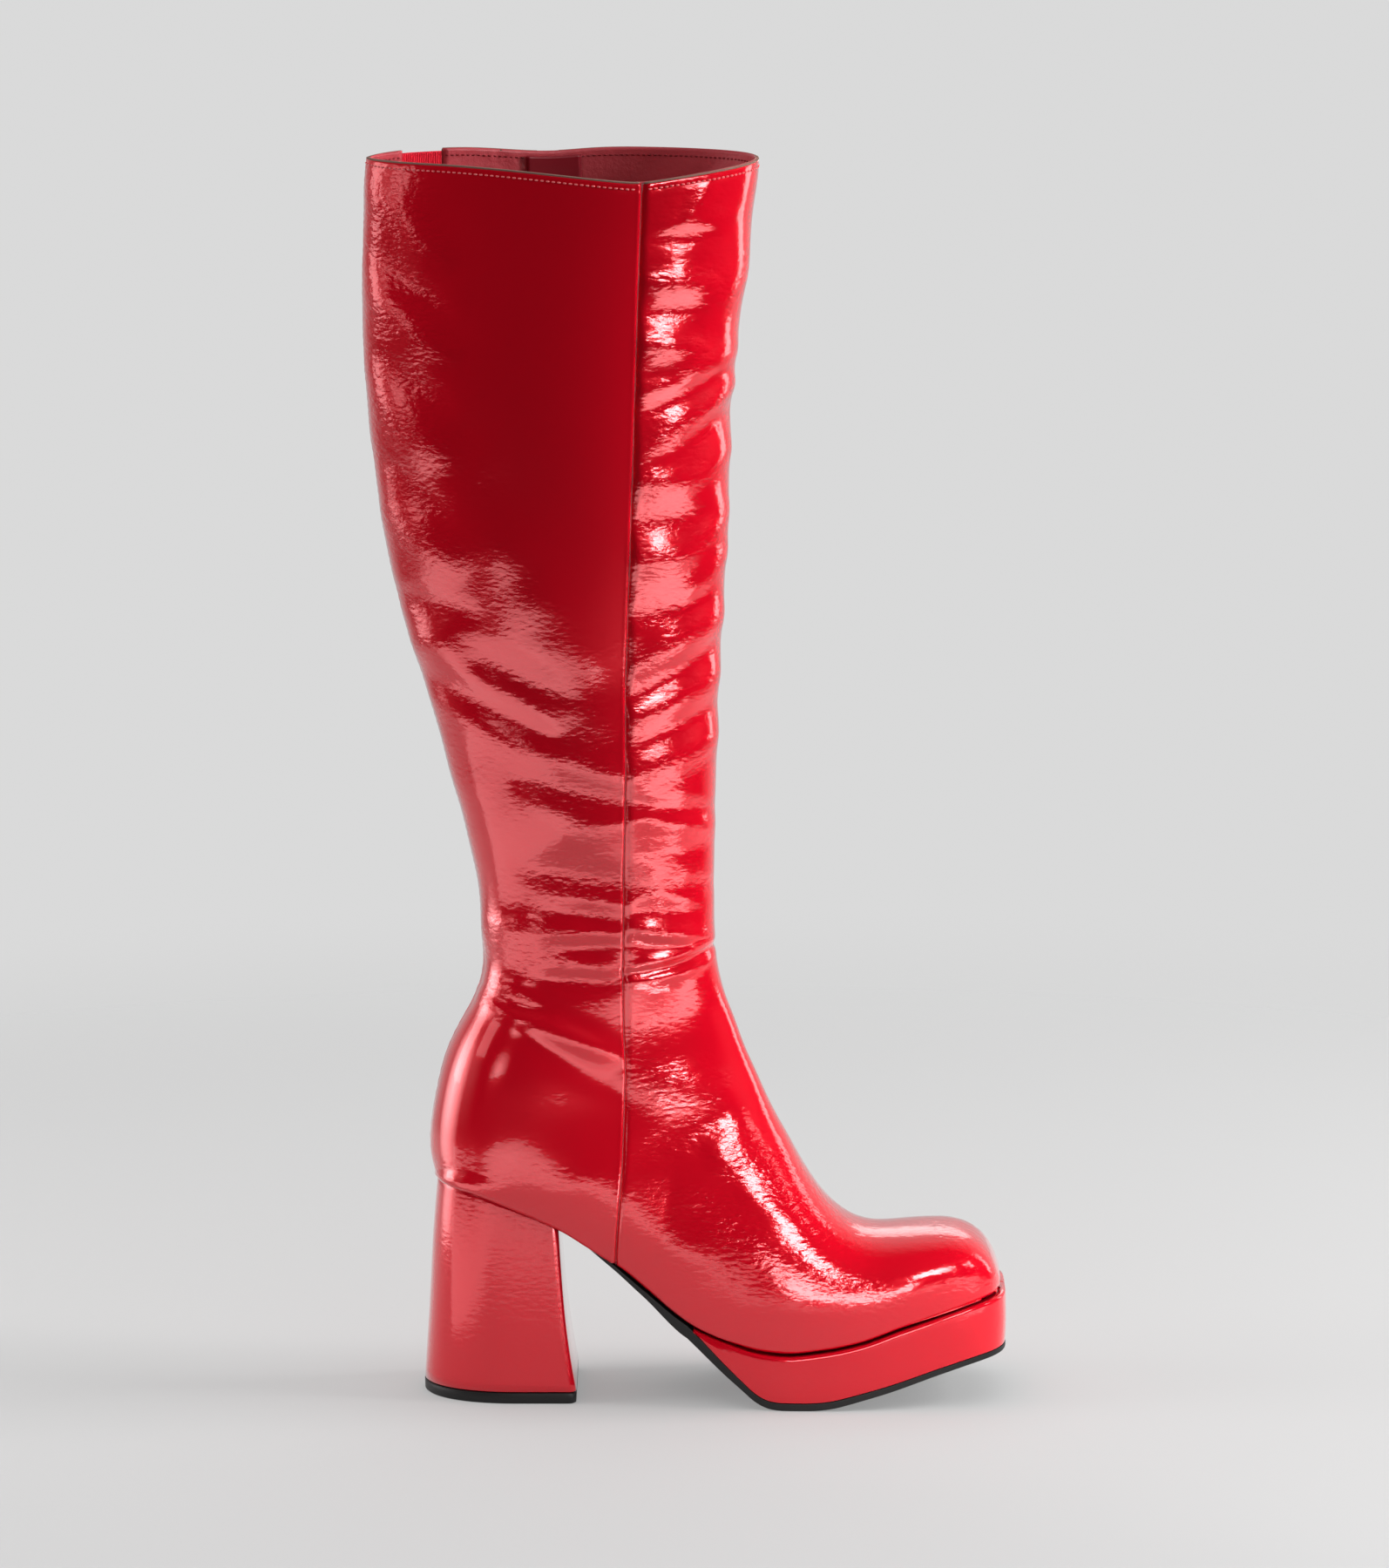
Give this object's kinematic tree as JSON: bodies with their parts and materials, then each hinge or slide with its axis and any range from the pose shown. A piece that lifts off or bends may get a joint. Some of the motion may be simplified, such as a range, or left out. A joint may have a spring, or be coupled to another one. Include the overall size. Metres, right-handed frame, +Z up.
{
  "type": "knee-high platform boot",
  "caption": "Knee-high platform boot for the right foot: crinkled gloss red upper, square toe, flared block heel, black outsole, inside zip with a hinged pull tab.",
  "frame": {"origin": "on the floor, under the middle of the boot's bounding box", "axes": "+Z up from the floor; +X to the toe; +Y to the inner (medial) side of the leg, where the zip is"},
  "size_m": [0.2632, 0.0912, 0.5112],
  "materials": {
    "patent_red": "crinkled patent, high gloss",
    "lining_red": "matt lining",
    "elastic_red": "ribbed elastic",
    "rubber_black": "matt black",
    "zip_red": "woven tape and moulded teeth",
    "zip_metal": "bright nickel"
  },
  "bodies": {
    "boot": {"upper": "patent_red", "platform": "patent_red", "heel_block": "patent_red", "insole": "lining_red", "elastic_gore": "elastic_red", "outsole": "rubber_black", "heel_lift": "rubber_black", "zip_chain": "zip_red", "zip_slider": "zip_metal"},
    "pull_tab": {"zip_pull": "zip_metal"}
  },
  "joints": [
    {"name": "pull_tab_hinge", "type": "hinge", "parent": "boot", "child": "pull_tab", "pos_m": [-0.05722, 0.04259, 0.49225], "axis": [0.9907, 0.1286, 0.0446], "range_deg": [0, 165]}
  ]
}
